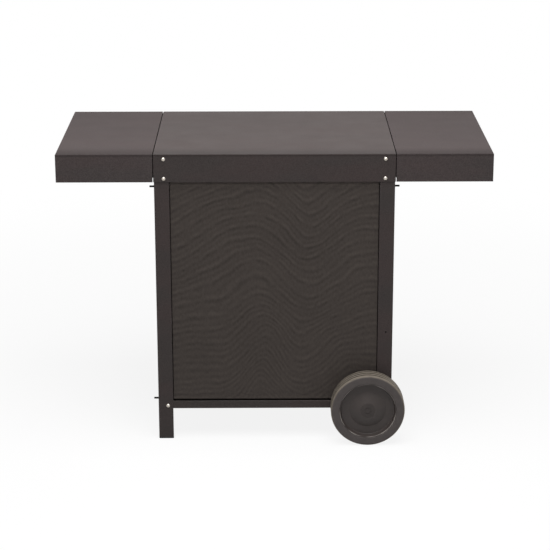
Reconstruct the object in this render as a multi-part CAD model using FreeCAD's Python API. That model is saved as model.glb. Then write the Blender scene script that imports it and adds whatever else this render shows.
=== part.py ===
"""Wheeled plancha cabinet in folded steel sheet, with two lift-off side shelves.

Millimetres. The origin is on the floor under the middle of the cabinet, +X is to the right of
someone who looks at the front, +Y runs from the front to the back and +Z is up.
"""
import FreeCAD
import Part
import math
import os

V = FreeCAD.Vector

# Main top, side shelves and the sheet that they are folded from
TOP_WIDTH = 638.0
TOP_DEPTH = 530.0
TOP_HEIGHT = 800.0
SKIRT_HEIGHT = 75.0
SHELF_WIDTH = 252.0
SHELF_GAP = 1.5
SHEET = 1.5
BEND_RADIUS = 2.5
RETURN_WIDTH = 9.0

# Corner posts and the glides under the two legs
POST_FLANGE = 40.0
POST_SHEET = 2.0
POST_BEND = 3.0
POST_TOP_GAP = 2.5
HOOK_HOLE_DIAMETER = 4.6
HOOK_HOLE_INSET = 18.5
HOOK_HOLE_HEIGHT = 306.0
GLIDE_THICKNESS = 4.0
GLIDE_PLUG = 20.0
GLIDE_PLUG_HEIGHT = 16.0
GLIDE_RIM = 3.0

# Bottom tray and the flat rails in front of it and behind it, set by the height of the axle
TRAY_WALL = 21.5
AXLE_RISE = 13.0
TRAY_RAIL_THICKNESS = 3.0
TRAY_RAIL_ROUND = 0.8

# Side panels
PANEL_SHEET = 1.0
PANEL_LAP = 19.5
PANEL_TOP_LAP = 15.0
PANEL_RIVETS = 3
PANEL_RIVET_MARGIN = 50.0

# Front screen and its two rods
ROD_DIAMETER = 5.0
ROD_END = 12.0
UPPER_ROD_DROP = 13.0
HEM_GAP = 4.0
SCREEN_HEADER = 24.0
SCREEN_THICKNESS = 0.9
SCREEN_SIDE_GAP = 2.0
CLIP_DIAMETER = 9.0
CLIP_THICKNESS = 0.8
CLIP_GROOVE = 0.4
CLIP_MOUTH = 3.6
CLIP_ROOM = 1.0

# Bolts with domed heads, flanged nuts, and rivets
BOLT_DIAMETER = 6.0
HEAD_DIAMETER = 10.5
HEAD_HEIGHT = 3.3
SOCKET_ACROSS = 4.0
SOCKET_DEPTH = 2.0
NUT_ACROSS = 10.0
NUT_HEIGHT = 6.0
NUT_FLANGE_DIAMETER = 13.0
NUT_FLANGE = 1.2
BOLT_TAIL = 1.5
BOLT_INSET = 26.0
UPPER_BOLT_DROP = 13.5
LOWER_BOLT_RISE = 9.0
RIVET_DIAMETER = 3.2
RIVET_HEAD_DIAMETER = 6.5
RIVET_HEAD_HEIGHT = 1.1
RIVET_TAIL_DIAMETER = 4.8
RIVET_TAIL_HEIGHT = 1.3

# Hanger rails on the cabinet and hook rails on the shelves
RAIL_SHEET = 1.5
RAIL_LENGTH = 350.0
RAIL_LIP = 14.0
RAIL_FLANGE = 16.0
RAIL_TOP_DROP = 22.0
RAIL_RIVETS = 4
RAIL_RIVET_MARGIN = 25.0
HOOK_LIP = 10.0
HOOK_FLANGE = 17.0
PAD_WIDTH = 20.0
PAD_HEIGHT = 12.0
PAD_RISE = 5.0

# Wheels, their hubs and the axle
WHEEL_DIAMETER = 200.0
WHEEL_WIDTH = 50.0
WHEEL_STANDOFF = 7.0
RIM_DIAMETER = 156.0
SHOULDER_RADIUS = 6.0
TREAD_GROOVES = 3
TREAD_GROOVE_WIDTH = 2.4
TREAD_GROOVE_DEPTH = 1.6
BEAD_HEIGHT = 2.5
BEAD_WIDTH = 8.0
RIM_LIP = 2.5
RIM_LIP_STEP = 1.5
DISH_DEPTH = 15.0
DISH_DRAFT = 4.0
RIM_WALL = 4.5
WEB = 3.5
CONE_DIAMETER = 99.0
CONE_STEP = 2.4
CAP_DIAMETER = 40.0
CAP_MARGIN = 1.8
CAP_SEAT_DEPTH = 3.1
CAP_LEDGE = 3.2
CAP_DOME = 1.6
POCKET_DEPTH = 6.0
SLEEVE_WALL = 4.0
BUSH_WALL = 3.0
BUSH_FLANGE = 1.5
BUSH_FLANGE_RIM = 3.0
RIM_RIBS = 6
RIB_WIDTH = 3.0
RIB_SETBACK = 8.0
AXLE_DIAMETER = 10.0
AXLE_INSET = 66.5
AXLE_PLATE_LENGTH = 60.0
AXLE_PLATE_THICKNESS = 3.0
AXLE_PLATE_MARGIN = 0.8
AXLE_RIVET_STEP = 22.0
SPACER_WALL = 4.0
WASHER_THICKNESS = 1.5
WASHER_WALL = 6.0
RETAINER_HEIGHT = 3.0
RETAINER_WALL = 5.0

# Clearances
HOLE_CLEARANCE = 0.2
THREAD_CLEARANCE = 0.05
RUNNING_CLEARANCE = 0.05
SEAT_CLEARANCE = 0.3
LIP_CLEARANCE = 1.0 / 3.0
HEM_CLEARANCE = 0.2
BORE_CLEARANCE = 0.05

# Values that follow from the ones above
TOP_X = TOP_WIDTH / 2
TOP_Y = TOP_DEPTH / 2
SKIRT_BOTTOM = TOP_HEIGHT - SKIRT_HEIGHT
RAIL_SPACE = max(2 * RAIL_SHEET + 3 * LIP_CLEARANCE, HEAD_HEIGHT + SEAT_CLEARANCE)
SHELF_X0 = TOP_X + RAIL_SPACE
SHELF_EDGE = TOP_X + SHELF_GAP
SHELF_X1 = SHELF_X0 + SHELF_WIDTH

POST_X = TOP_X - SHEET
POST_Y = TOP_Y - SHEET
POST_TOP = TOP_HEIGHT - SHEET - POST_TOP_GAP
INNER_X = POST_X - POST_SHEET
INNER_Y = POST_Y - POST_SHEET

AXLE_X = POST_X - AXLE_INSET
AXLE_Z = WHEEL_DIAMETER / 2
TRAY_BOTTOM = AXLE_Z - AXLE_RISE
TRAY_TOP = TRAY_BOTTOM + TRAY_WALL
TRAY_MIDDLE = TRAY_BOTTOM + TRAY_WALL / 2
TRAY_BOLT_Z = TRAY_BOTTOM + SHEET + SEAT_CLEARANCE + NUT_FLANGE_DIAMETER / 2
TRAY_Y = INNER_Y - TRAY_RAIL_THICKNESS
TRAY_RAIL_X = INNER_X - (POST_BEND - POST_SHEET)

BOLT_X = POST_X - BOLT_INSET
BOLT_Y = POST_Y - BOLT_INSET
TOP_BOLT_HEIGHTS = (SKIRT_BOTTOM + LOWER_BOLT_RISE, TOP_HEIGHT - UPPER_BOLT_DROP)

ROD_RADIUS = ROD_DIAMETER / 2
ROD_Y = -INNER_Y + CLIP_ROOM + CLIP_DIAMETER / 2
HEM_INNER = ROD_RADIUS + HEM_CLEARANCE
HEM_OUTER = HEM_INNER + SCREEN_THICKNESS
UPPER_ROD_Z = SKIRT_BOTTOM - UPPER_ROD_DROP
LOWER_ROD_Z = TRAY_TOP + HEM_GAP + HEM_OUTER
ROD_HEIGHTS = (LOWER_ROD_Z, UPPER_ROD_Z)
SCREEN_X = POST_X - POST_FLANGE - SCREEN_SIDE_GAP

PANEL_Y = POST_Y - POST_FLANGE + PANEL_LAP
PANEL_BOTTOM = TRAY_TOP + SEAT_CLEARANCE
PANEL_SHOULDER = SKIRT_BOTTOM - SHEET
PANEL_RIVET_Y = POST_Y - POST_FLANGE + PANEL_LAP / 2

RAIL_Y = RAIL_LENGTH / 2
RAIL_TOP = TOP_HEIGHT - RAIL_TOP_DROP
RAIL_JOG = RAIL_TOP - RAIL_LIP
PAD_Y = (RAIL_Y + BOLT_Y - HEAD_DIAMETER / 2) / 2

AXLE_RADIUS = AXLE_DIAMETER / 2
BUSH_BORE = AXLE_RADIUS + RUNNING_CLEARANCE
BUSH_RADIUS = AXLE_RADIUS + BUSH_WALL
WHEEL_Y = POST_Y + WHEEL_STANDOFF
SEAT_W = WHEEL_WIDTH - CONE_STEP - CAP_SEAT_DEPTH
POCKET_W = SEAT_W - POCKET_DEPTH
HUB_W = POCKET_W + BUSH_FLANGE
WASHER_W = HUB_W + SEAT_CLEARANCE
AXLE_END_W = WASHER_W + WASHER_THICKNESS + RETAINER_HEIGHT


def box(x0, x1, y0, y1, z0, z1):
    """Return the box between two corners."""
    return Part.makeBox(x1 - x0, y1 - y0, z1 - z0, V(x0, y0, z0))


def bar(start, end, radius):
    """Return a round bar between two points."""
    return Part.makeCylinder(radius, (end - start).Length, start, end - start)


def tube(start, end, outer, inner):
    """Return a round tube between two points."""
    return bar(start, end, outer).cut(bar(start, end, inner))


def turned(points):
    """Turn a closed outline of (radius, width) points about the Y axis."""
    corners = [V(radius, width, 0) for radius, width in points]
    face = Part.Face(Part.makePolygon(corners + corners[:1]))
    return face.revolve(V(0, 0, 0), V(0, 1, 0), 360)


def rounded(shape, radius, choose):
    """Fillet the edges that choose() picks out."""
    edges = [edge for edge in shape.Edges if choose(edge)]
    return shape.makeFillet(radius, edges)


def straight_along(edge, axis):
    """Say whether an edge is a straight line along one axis."""
    if not isinstance(edge.Curve, Part.Line):
        return False
    return abs(abs(edge.Curve.Direction.dot(axis)) - 1) < 1e-6


def standing(shape, point, direction):
    """Move a piece that was drawn along +Z so that its base is at a point, along a direction."""
    moved = shape.copy()
    moved.Placement = FreeCAD.Placement(point, FreeCAD.Rotation(V(0, 0, 1), direction))
    return moved


def flipped_x(shape):
    """Return the mirror image across the cabinet's middle, left for right."""
    return shape.mirror(V(0, 0, 0), V(1, 0, 0))


def flipped_y(shape):
    """Return the mirror image across the cabinet's middle, front for back."""
    return shape.mirror(V(0, 0, 0), V(0, 1, 0))


def folded_tray(x0, x1, y0, y1, z0, z1, lap):
    """Return an upside-down tray of folded sheet, with a return of width lap along its lower edge."""

    def outer_edge(edge):
        middle = edge.BoundBox.Center
        return straight_along(edge, V(0, 0, 1)) or abs(middle.z - z1) < 1e-6

    def inner_edge(edge):
        middle = edge.BoundBox.Center
        return straight_along(edge, V(0, 0, 1)) or abs(middle.z - z1 + SHEET) < 1e-6

    shell = rounded(box(x0, x1, y0, y1, z0, z1), BEND_RADIUS, outer_edge)
    floor = z0 + SHEET if lap > SHEET else z0 - SHEET
    hollow = box(x0 + SHEET, x1 - SHEET, y0 + SHEET, y1 - SHEET, floor, z1 - SHEET)
    shell = shell.cut(rounded(hollow, BEND_RADIUS - SHEET, inner_edge))
    if lap > SHEET:
        shell = shell.cut(box(x0 + lap, x1 - lap, y0 + lap, y1 - lap, z0 - SHEET, z0 + 2 * SHEET))
    return shell


class Place:
    """Where one fastener sits: on which face, along which way and through how much metal."""

    def __init__(self, seat, inward, grip):
        self.seat = seat
        self.inward = inward
        self.grip = grip

    def drill(self, diameter):
        """Return the cutter for this fastener's clearance hole."""
        cutter = Part.makeCylinder(diameter / 2 + HOLE_CLEARANCE, self.grip + 2 * SHEET, V(0, 0, -SHEET))
        return standing(cutter, self.seat, self.inward)

    def bolt(self):
        """Return a domed bolt with a hexagon socket."""
        radius = HEAD_DIAMETER / 2
        ball = (radius * radius + HEAD_HEIGHT * HEAD_HEIGHT) / (2 * HEAD_HEIGHT)
        dome = Part.makeSphere(ball, V(0, 0, ball - HEAD_HEIGHT))
        head = dome.common(Part.makeCylinder(HEAD_DIAMETER, HEAD_HEIGHT, V(0, 0, -HEAD_HEIGHT)))
        head = head.cut(hexagon(SOCKET_ACROSS, -HEAD_HEIGHT - SHEET, -HEAD_HEIGHT + SOCKET_DEPTH))
        shank = Part.makeCylinder(BOLT_DIAMETER / 2, self.grip + NUT_HEIGHT + BOLT_TAIL)
        return standing(head.fuse(shank).removeSplitter(), self.seat, self.inward)

    def nut(self):
        """Return the flanged nut on the inner end of the bolt."""
        flange = Part.makeCylinder(NUT_FLANGE_DIAMETER / 2, NUT_FLANGE, V(0, 0, self.grip))
        body = flange.fuse(hexagon(NUT_ACROSS, self.grip, self.grip + NUT_HEIGHT))
        thread = Part.makeCylinder(BOLT_DIAMETER / 2 + THREAD_CLEARANCE, self.grip + 2 * NUT_HEIGHT)
        return standing(body.cut(thread).removeSplitter(), self.seat, self.inward)

    def rivet(self):
        """Return a low domed rivet with its formed tail."""
        radius = RIVET_HEAD_DIAMETER / 2
        ball = (radius * radius + RIVET_HEAD_HEIGHT * RIVET_HEAD_HEIGHT) / (2 * RIVET_HEAD_HEIGHT)
        dome = Part.makeSphere(ball, V(0, 0, ball - RIVET_HEAD_HEIGHT))
        cutter = Part.makeCylinder(RIVET_HEAD_DIAMETER, RIVET_HEAD_HEIGHT, V(0, 0, -RIVET_HEAD_HEIGHT))
        shank = Part.makeCylinder(RIVET_DIAMETER / 2, self.grip + RIVET_TAIL_HEIGHT)
        tail = Part.makeCylinder(RIVET_TAIL_DIAMETER / 2, RIVET_TAIL_HEIGHT, V(0, 0, self.grip))
        whole = dome.common(cutter).fuse([shank, tail]).removeSplitter()
        return standing(whole, self.seat, self.inward)


def hexagon(across, z0, z1):
    """Return a hexagonal prism along Z."""
    radius = across / math.sqrt(3)
    turns = [math.radians(60 * step) for step in range(6)]
    corners = [V(radius * math.cos(turn), radius * math.sin(turn), z0) for turn in turns]
    return Part.Face(Part.makePolygon(corners + corners[:1])).extrude(V(0, 0, z1 - z0))


def drilled(shape, places, diameter):
    """Cut the clearance holes of some fasteners."""
    for place in places:
        shape = shape.cut(place.drill(diameter))
    return shape


def spread(count, low, high):
    """Return evenly spaced positions from low to high."""
    if count < 2:
        return [(low + high) / 2]
    return [low + (high - low) * step / (count - 1) for step in range(count)]


def front_places(heights, face_y, grip):
    """Return the bolt places on the front face, left and right, at some heights."""
    return [Place(V(side * BOLT_X, -face_y, z), V(0, 1, 0), grip) for side in (-1, 1) for z in heights]


def rear_places(heights, face_y, grip):
    """Return the bolt places on the rear face, left and right, at some heights."""
    return [Place(V(side * BOLT_X, face_y, z), V(0, -1, 0), grip) for side in (-1, 1) for z in heights]


FRONT_TOP = front_places(TOP_BOLT_HEIGHTS, TOP_Y, SHEET + POST_SHEET)
REAR_TOP = rear_places(TOP_BOLT_HEIGHTS, TOP_Y, SHEET + POST_SHEET)
SIDE_TOP = [
    Place(V(side * TOP_X, end * BOLT_Y, z), V(-side, 0, 0), SHEET + POST_SHEET)
    for side in (-1, 1)
    for end in (-1, 1)
    for z in TOP_BOLT_HEIGHTS
]
TOP_PLACES = FRONT_TOP + REAR_TOP + SIDE_TOP
TRAY_PLACES = front_places([TRAY_BOLT_Z], POST_Y, POST_SHEET + TRAY_RAIL_THICKNESS)
TRAY_PLACES += rear_places([TRAY_BOLT_Z], POST_Y, POST_SHEET + TRAY_RAIL_THICKNESS)
PANEL_PLACES = [
    Place(V(side * POST_X, end * PANEL_RIVET_Y, z), V(-side, 0, 0), POST_SHEET + PANEL_SHEET)
    for side in (-1, 1)
    for end in (-1, 1)
    for z in spread(PANEL_RIVETS, PANEL_BOTTOM + PANEL_RIVET_MARGIN, PANEL_SHOULDER - PANEL_RIVET_MARGIN)
]
AXLE_PLACES = [
    Place(V(AXLE_X + step, end * INNER_Y, TRAY_MIDDLE), V(0, -end, 0),
          TRAY_RAIL_THICKNESS + AXLE_PLATE_THICKNESS)
    for end in (-1, 1)
    for step in (-AXLE_RIVET_STEP, AXLE_RIVET_STEP)
]
RAIL_PLACES = [
    Place(V(side * (TOP_X + RAIL_SHEET), y, RAIL_JOG - RAIL_FLANGE / 2), V(-side, 0, 0), RAIL_SHEET + SHEET)
    for side in (-1, 1)
    for y in spread(RAIL_RIVETS, -RAIL_Y + RAIL_RIVET_MARGIN, RAIL_Y - RAIL_RIVET_MARGIN)
]
HOOK_PLACES = [
    Place(V(SHELF_X0 - RAIL_SHEET, y, RAIL_TOP + SEAT_CLEARANCE + RAIL_SHEET + HOOK_FLANGE / 2), V(1, 0, 0),
          RAIL_SHEET + SHEET)
    for y in spread(RAIL_RIVETS, -RAIL_Y + RAIL_RIVET_MARGIN, RAIL_Y - RAIL_RIVET_MARGIN)
]


def make_top():
    """Return the main top: a folded tray over the heads of the four posts."""
    tray = folded_tray(-TOP_X, TOP_X, -TOP_Y, TOP_Y, SKIRT_BOTTOM, TOP_HEIGHT, 0)
    tray = drilled(tray, TOP_PLACES, BOLT_DIAMETER)
    return drilled(tray, RAIL_PLACES, RIVET_DIAMETER)


def make_post(bottom, with_rods):
    """Return the front left corner angle, with the holes for everything that goes through it."""
    angle = box(-POST_X, -POST_X + POST_FLANGE, -POST_Y, -POST_Y + POST_FLANGE, bottom, POST_TOP)
    inside = box(-INNER_X, POST_FLANGE - POST_X + SHEET, -INNER_Y, POST_FLANGE - POST_Y + SHEET,
                 bottom - SHEET, POST_TOP + SHEET)
    angle = angle.cut(inside)

    def corner(edge, x, y):
        middle = edge.BoundBox.Center
        return straight_along(edge, V(0, 0, 1)) and abs(middle.x - x) + abs(middle.y - y) < 1e-6

    angle = rounded(angle, POST_BEND, lambda edge: corner(edge, -POST_X, -POST_Y))
    angle = rounded(angle, POST_BEND - POST_SHEET, lambda edge: corner(edge, -INNER_X, -INNER_Y))
    angle = drilled(angle, FRONT_TOP + SIDE_TOP + TRAY_PLACES, BOLT_DIAMETER)
    angle = drilled(angle, PANEL_PLACES, RIVET_DIAMETER)
    if with_rods:
        for z in ROD_HEIGHTS:
            start = V(-POST_X - SHEET, ROD_Y, z)
            end = V(-INNER_X + SHEET, ROD_Y, z)
            angle = angle.cut(bar(start, end, ROD_RADIUS + HOLE_CLEARANCE))
    return angle


def hook_hole():
    """Return the cutter for the small hole in the front right post, which takes a hook."""
    start = V(POST_X - HOOK_HOLE_INSET, -POST_Y - SHEET, HOOK_HOLE_HEIGHT)
    return bar(start, start + V(0, POST_SHEET + 2 * SHEET, 0), HOOK_HOLE_DIAMETER / 2)


def make_glide():
    """Return the plastic foot of the front left leg: a pad under the angle, with a plug inside it."""
    x1 = -POST_X + POST_FLANGE
    y1 = -POST_Y + POST_FLANGE
    pad = box(-POST_X, x1, -POST_Y, y1, 0, GLIDE_THICKNESS)
    pad = rounded(pad, POST_BEND, lambda edge: straight_along(edge, V(0, 0, 1)))
    x0 = -INNER_X + BORE_CLEARANCE
    y0 = -INNER_Y + BORE_CLEARANCE
    bare = box(x0 + GLIDE_RIM, x1 + SHEET, y0 + GLIDE_RIM, y1 + SHEET, -SHEET, GLIDE_THICKNESS + SHEET)
    pad = pad.cut(bare)
    plug = box(x0, x0 + GLIDE_PLUG, y0, y0 + GLIDE_PLUG, 0, GLIDE_THICKNESS + GLIDE_PLUG_HEIGHT)
    plug = rounded(plug, POST_BEND - POST_SHEET, lambda edge: straight_along(edge, V(0, 0, 1)))
    return pad.fuse(plug).removeSplitter()


def make_bottom_tray():
    """Return the bottom tray: a sheet between the two rails, with its left and right edges folded up."""

    def bend(edge, x, z):
        middle = edge.BoundBox.Center
        return straight_along(edge, V(0, 1, 0)) and abs(abs(middle.x) - x) + abs(middle.z - z) < 1e-6

    tray = box(-INNER_X, INNER_X, -TRAY_Y, TRAY_Y, TRAY_BOTTOM, TRAY_TOP)
    tray = rounded(tray, BEND_RADIUS, lambda edge: bend(edge, INNER_X, TRAY_BOTTOM))
    wall = INNER_X - SHEET
    floor = TRAY_BOTTOM + SHEET
    hollow = box(-wall, wall, -TRAY_Y - SHEET, TRAY_Y + SHEET, floor, TRAY_TOP + SHEET)
    return tray.cut(rounded(hollow, BEND_RADIUS - SHEET, lambda edge: bend(edge, wall, floor)))


def make_tray_rail():
    """Return the rear rail: a flat bar between the posts, which carries the tray and the axle."""
    rail = box(-TRAY_RAIL_X, TRAY_RAIL_X, TRAY_Y, INNER_Y, TRAY_BOTTOM, TRAY_TOP)
    rail = rounded(rail, TRAY_RAIL_ROUND, lambda edge: straight_along(edge, V(1, 0, 0)))
    rail = drilled(rail, TRAY_PLACES, BOLT_DIAMETER)
    return drilled(rail, AXLE_PLACES, RIVET_DIAMETER).cut(axle_bore())


def make_side_panel():
    """Return the left side panel, which stands on the bottom tray's wall inside the two left posts."""
    outer = -INNER_X
    inner = outer + PANEL_SHEET
    lower = box(outer, inner, -PANEL_Y, PANEL_Y, PANEL_BOTTOM, PANEL_SHOULDER)
    neck = POST_Y - POST_FLANGE - SHEET
    upper = box(outer, inner, -neck, neck, PANEL_BOTTOM, SKIRT_BOTTOM + PANEL_TOP_LAP)
    return drilled(lower.fuse(upper).removeSplitter(), PANEL_PLACES, RIVET_DIAMETER)


def make_screen():
    """Return the cloth screen: a drawn sheet with a tunnel for each rod and a header above the upper one."""
    step = math.sqrt(HEM_OUTER * HEM_OUTER - HEM_INNER * HEM_INNER)
    front = ROD_Y - HEM_OUTER
    back = ROD_Y - HEM_INNER
    behind = ROD_Y + HEM_OUTER
    low, high = ROD_HEIGHTS

    def point(y, z):
        return V(-SCREEN_X, y, z)

    top = high + SCREEN_HEADER
    outline = [
        Part.makeLine(point(front, low), point(front, top)),
        Part.makeLine(point(front, top), point(back, top)),
        Part.makeLine(point(back, top), point(back, high + step)),
        Part.Arc(point(back, high + step), point(behind, high), point(back, high - step)).toShape(),
        Part.makeLine(point(back, high - step), point(back, low + step)),
        Part.Arc(point(back, low + step), point(behind, low), point(front, low)).toShape(),
    ]
    sheet = Part.Face(Part.Wire(outline)).extrude(V(2 * SCREEN_X, 0, 0))
    for z in ROD_HEIGHTS:
        tunnel = bar(V(-SCREEN_X - SHEET, ROD_Y, z), V(SCREEN_X + SHEET, ROD_Y, z), HEM_INNER)
        sheet = sheet.cut(tunnel)
    return sheet


def clip_x():
    """Return how far from the middle the rod clips start."""
    return INNER_X - SHEET - SEAT_CLEARANCE - CLIP_THICKNESS


def make_rod(z):
    """Return one screen rod with the two grooves for its clips."""
    reach = POST_X + ROD_END
    rod = bar(V(-reach, ROD_Y, z), V(reach, ROD_Y, z), ROD_RADIUS)
    rod = rounded(rod, ROD_RADIUS / 3, lambda edge: isinstance(edge.Curve, Part.Circle))
    for side in (-1, 1):
        start = V(side * (clip_x() - BORE_CLEARANCE), ROD_Y, z)
        end = V(side * (clip_x() + CLIP_THICKNESS + BORE_CLEARANCE), ROD_Y, z)
        rod = rod.cut(tube(start, end, ROD_DIAMETER, ROD_RADIUS - CLIP_GROOVE))
    return rod


def make_clips():
    """Return the open spring rings that stop the rods from sliding out."""
    rings = []
    for z in ROD_HEIGHTS:
        for side in (-1, 1):
            start = V(side * clip_x(), ROD_Y, z)
            end = V(side * (clip_x() + CLIP_THICKNESS), ROD_Y, z)
            ring = tube(start, end, CLIP_DIAMETER / 2, ROD_RADIUS - CLIP_GROOVE + BORE_CLEARANCE)
            low, high = sorted((start.x, end.x))
            mouth = box(low - SHEET, high + SHEET, ROD_Y - CLIP_MOUTH / 2, ROD_Y + CLIP_MOUTH / 2,
                        z, z + CLIP_DIAMETER)
            rings.append(ring.cut(mouth))
    return rings


def make_hanger_rail():
    """Return the right hanger rail: a flange on the cabinet and a lip that stands off it."""
    lip0 = TOP_X + RAIL_SHEET + 2 * (RAIL_SPACE - 2 * RAIL_SHEET) / 3
    lip = box(lip0, lip0 + RAIL_SHEET, -RAIL_Y, RAIL_Y, RAIL_JOG, RAIL_TOP)
    jog = box(TOP_X, lip0 + RAIL_SHEET, -RAIL_Y, RAIL_Y, RAIL_JOG, RAIL_JOG + RAIL_SHEET)
    flange = box(TOP_X, TOP_X + RAIL_SHEET, -RAIL_Y, RAIL_Y, RAIL_JOG - RAIL_FLANGE, RAIL_JOG + RAIL_SHEET)
    return drilled(flange.fuse([jog, lip]).removeSplitter(), RAIL_PLACES, RIVET_DIAMETER)


def make_hook_rail():
    """Return the right shelf's hook rail, whose lip drops behind the lip of the hanger rail."""
    lip0 = TOP_X + (RAIL_SPACE - 2 * RAIL_SHEET) / 3
    seat = RAIL_TOP + SEAT_CLEARANCE
    lip = box(lip0, lip0 + RAIL_SHEET, -RAIL_Y, RAIL_Y, RAIL_TOP - HOOK_LIP, seat + RAIL_SHEET)
    jog = box(lip0, SHELF_X0, -RAIL_Y, RAIL_Y, seat, seat + RAIL_SHEET)
    flange = box(SHELF_X0 - RAIL_SHEET, SHELF_X0, -RAIL_Y, RAIL_Y, seat, seat + RAIL_SHEET + HOOK_FLANGE)
    return drilled(flange.fuse([jog, lip]).removeSplitter(), HOOK_PLACES, RIVET_DIAMETER)


def make_shelf():
    """Return the right side shelf: a folded tray, whose top and ends reach over the space for the rails."""
    tray = folded_tray(SHELF_X0, SHELF_X1, -TOP_Y, TOP_Y, SKIRT_BOTTOM, TOP_HEIGHT, RETURN_WIDTH)

    def bend(edge, z):
        return straight_along(edge, V(1, 0, 0)) and abs(edge.BoundBox.Center.z - z) < 1e-6

    inside = TOP_HEIGHT - SHEET
    reach = box(SHELF_EDGE, SHELF_X0 + BEND_RADIUS, -TOP_Y, TOP_Y, SKIRT_BOTTOM, TOP_HEIGHT)
    reach = rounded(reach, BEND_RADIUS, lambda edge: bend(edge, TOP_HEIGHT))
    hollow = box(TOP_X, SHELF_X1, -TOP_Y + SHEET, TOP_Y - SHEET, SKIRT_BOTTOM - SHEET, inside)
    reach = reach.cut(rounded(hollow, BEND_RADIUS - SHEET, lambda edge: bend(edge, inside)))
    return drilled(tray.fuse(reach).removeSplitter(), HOOK_PLACES, RIVET_DIAMETER)


def make_shelf_pads():
    """Return the right shelf's two pads, which keep it level, between the rail's ends and the bolts."""
    z0 = SKIRT_BOTTOM + PAD_RISE
    pads = []
    for end in (-1, 1):
        middle = end * PAD_Y
        pad = box(TOP_X + SEAT_CLEARANCE, SHELF_X0, middle - PAD_WIDTH / 2, middle + PAD_WIDTH / 2,
                  z0, z0 + PAD_HEIGHT)
        pads.append(rounded(pad, PAD_HEIGHT / 4, lambda edge: straight_along(edge, V(1, 0, 0))))
    return pads


def axle_bore():
    """Return the cutter for the axle's holes."""
    reach = TOP_DEPTH
    return bar(V(AXLE_X, -reach, AXLE_Z), V(AXLE_X, reach, AXLE_Z), AXLE_RADIUS + HOLE_CLEARANCE)


def make_axle():
    """Return the fixed axle with rounded ends."""
    reach = WHEEL_Y + AXLE_END_W
    axle = bar(V(AXLE_X, -reach, AXLE_Z), V(AXLE_X, reach, AXLE_Z), AXLE_RADIUS)
    return rounded(axle, AXLE_RADIUS / 8, lambda edge: isinstance(edge.Curve, Part.Circle))


def make_axle_plate():
    """Return the rear plate that stiffens the rail round the axle."""
    y1 = TRAY_Y
    z0 = TRAY_BOTTOM + SHEET + AXLE_PLATE_MARGIN
    z1 = TRAY_TOP - AXLE_PLATE_MARGIN
    plate = box(AXLE_X - AXLE_PLATE_LENGTH / 2, AXLE_X + AXLE_PLATE_LENGTH / 2,
                y1 - AXLE_PLATE_THICKNESS, y1, z0, z1)
    plate = rounded(plate, AXLE_PLATE_THICKNESS, lambda edge: straight_along(edge, V(0, 1, 0)))
    return drilled(plate, AXLE_PLACES, RIVET_DIAMETER).cut(axle_bore())


def on_axle(w0, w1, outer, inner):
    """Return a ring round the rear end of the axle, at widths measured out from the wheel's inner face."""
    start = V(AXLE_X, WHEEL_Y + w0, AXLE_Z)
    end = V(AXLE_X, WHEEL_Y + w1, AXLE_Z)
    return tube(start, end, outer, inner)


def make_spacer():
    """Return the rear spacer between the rail and the wheel."""
    length = WHEEL_Y - INNER_Y - SEAT_CLEARANCE
    bore = AXLE_RADIUS + HOLE_CLEARANCE
    return on_axle(-SEAT_CLEARANCE - length, -SEAT_CLEARANCE, bore + SPACER_WALL, bore)


def make_washer():
    """Return the rear washer outside the wheel's hub."""
    bore = AXLE_RADIUS + HOLE_CLEARANCE
    return on_axle(WASHER_W, WASHER_W + WASHER_THICKNESS, AXLE_RADIUS + WASHER_WALL, bore)


def make_retainer():
    """Return the rear push-on ring that grips the end of the axle."""
    low = WASHER_W + WASHER_THICKNESS
    bore = AXLE_RADIUS + BORE_CLEARANCE
    disc = on_axle(low, low + RETAINER_HEIGHT / 3, AXLE_RADIUS + RETAINER_WALL, bore)
    crown = on_axle(low, low + RETAINER_HEIGHT * 0.8, AXLE_RADIUS + RETAINER_WALL / 2, bore)
    return disc.fuse(crown).removeSplitter()


def at_rear_wheel(shape):
    """Move a wheel piece that was turned at the origin to the rear end of the axle."""
    moved = shape.copy()
    moved.translate(V(AXLE_X, WHEEL_Y, AXLE_Z))
    return moved


def make_tyre():
    """Return the tyre: a solid band with round shoulders, tread grooves and a keyed bore."""
    bore = RIM_DIAMETER / 2
    radius = WHEEL_DIAMETER / 2
    middle = WHEEL_WIDTH / 2
    half = BEAD_WIDTH / 2
    outline = [
        (bore, 0), (radius, 0), (radius, WHEEL_WIDTH), (bore, WHEEL_WIDTH),
        (bore, middle + half), (bore + BEAD_HEIGHT, middle + half),
        (bore + BEAD_HEIGHT, middle - half), (bore, middle - half),
    ]

    def shoulder(edge):
        return isinstance(edge.Curve, Part.Circle) and abs(edge.Curve.Radius - radius) < 1e-6

    def lip(edge):
        middle_y = edge.BoundBox.Center.y
        outside = abs(middle_y - WHEEL_WIDTH) < 1e-6 or abs(middle_y) < 1e-6
        return isinstance(edge.Curve, Part.Circle) and abs(edge.Curve.Radius - bore) < 1e-6 and outside

    tyre = rounded(turned(outline), SHOULDER_RADIUS, shoulder)
    tyre = rounded(tyre, RIM_LIP_STEP / 2, lip)
    pitch = WHEEL_WIDTH / (TREAD_GROOVES + 1)
    for step in range(TREAD_GROOVES):
        w = pitch * (step + 1) - TREAD_GROOVE_WIDTH / 2
        start = V(0, w, 0)
        end = V(0, w + TREAD_GROOVE_WIDTH, 0)
        tyre = tyre.cut(tube(start, end, radius + SHEET, radius - TREAD_GROOVE_DEPTH))
    return tyre


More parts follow.
